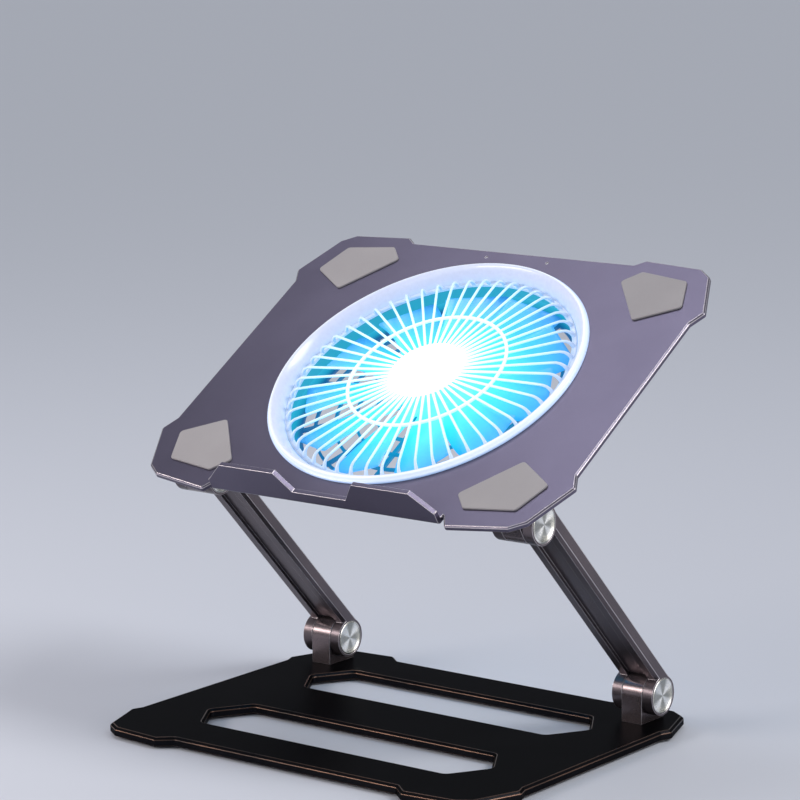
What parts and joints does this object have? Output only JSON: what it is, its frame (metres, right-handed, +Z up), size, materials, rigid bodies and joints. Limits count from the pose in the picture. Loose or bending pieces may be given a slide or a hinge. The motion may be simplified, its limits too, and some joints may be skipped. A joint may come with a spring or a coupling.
{
  "type": "laptop cooling pad",
  "caption": "Folding laptop stand with a slotted base plate, two leaning arms, and a tilting top plate around a large lit fan.",
  "frame": {"origin": "middle of the stand on the surface that its feet rest on", "axes": "+X to the user's right, +Y away from the user, +Z up"},
  "size_m": [0.28, 0.231, 0.2538],
  "materials": {
    "base_black": "fine satin anodised, near black",
    "arm_bronze": "satin anodised, dark bronze grey",
    "hinge_bronze": "polished anodised, bronze grey",
    "plate_grey": "satin anodised, purple grey",
    "cap_silver": "spun brushed",
    "silicone_grey": "matt",
    "rubber_black": "matt",
    "milk_plastic": "translucent, lit from inside",
    "grille_white": "moulded, glossy",
    "rotor_blue": "translucent, pale blue",
    "housing_black": "fine grained",
    "steel": "turned",
    "copper": "enamelled wire",
    "iron": "pressed stack",
    "board_green": "printed circuit board",
    "led_white": "clear resin"
  },
  "bodies": {
    "base": {"base_plate": "base_black", "base_feet": "rubber_black", "base_block_screws": "steel", "base_hinge_block_left": "hinge_bronze", "base_hinge_block_right": "hinge_bronze", "base_hinge_pin_left": "steel", "base_hinge_pin_right": "steel", "base_friction_washers": "steel"},
    "arms": {"arm_left": "arm_bronze", "arm_right": "arm_bronze", "base_hinge_caps": "cap_silver"},
    "top_pins": {"top_hinge_pin_left": "steel", "top_hinge_pin_right": "steel", "top_hinge_caps": "cap_silver", "top_friction_washers": "steel"},
    "plate": {"top_plate": "plate_grey", "top_hinge_block_left": "hinge_bronze", "top_hinge_block_right": "hinge_bronze", "top_block_screws": "steel", "pad_front_left": "silicone_grey", "pad_front_right": "silicone_grey", "pad_back_left": "silicone_grey", "pad_back_right": "silicone_grey", "fan_collar": "milk_plastic", "fan_grille": "grille_white", "hub_cap": "milk_plastic", "led_ring_board": "board_green", "leds": "led_white", "fan_housing": "housing_black", "rear_guard": "housing_black", "motor_board": "board_green", "motor_stator": "iron", "motor_windings": "copper", "motor_bearing": "steel", "control_case": "housing_black", "control_board": "board_green", "power_inlet": "steel", "housing_screws": "steel", "case_screws": "steel"},
    "rotor": {"fan_rotor": "rotor_blue", "magnet_ring": "iron", "motor_shaft": "steel"},
    "button": {"speed_button": "housing_black"}
  },
  "joints": [
    {"name": "arm_fold", "type": "hinge", "parent": "base", "child": "arms", "pos_m": [0, 0.07205, 0.0216], "axis": [1, 0, 0], "range_deg": [-44, 45.5]},
    {"name": "pin_level", "type": "hinge", "parent": "arms", "child": "top_pins", "pos_m": [0, -0.04145, 0.13799], "axis": [1, 0, 0], "range_deg": [-45.6, 44.1]},
    {"name": "plate_tilt", "type": "hinge", "parent": "top_pins", "child": "plate", "pos_m": [0, -0.04145, 0.13799], "axis": [1, 0, 0], "range_deg": [-31.5, 18.5]},
    {"name": "fan_spin", "type": "hinge", "parent": "plate", "child": "rotor", "pos_m": [0, 0.02587, 0.18851], "axis": [0, -0.5225, 0.8526], "continuous": true},
    {"name": "button_press", "type": "slide", "parent": "plate", "child": "button", "axis": [0, -0.8526, -0.5225], "range_m": [0, 0.001], "stiffness_N_per_m": 300}
  ],
  "couplings": [
    {"joint": "pin_level", "follows": "arm_fold", "ratio": -1}
  ]
}
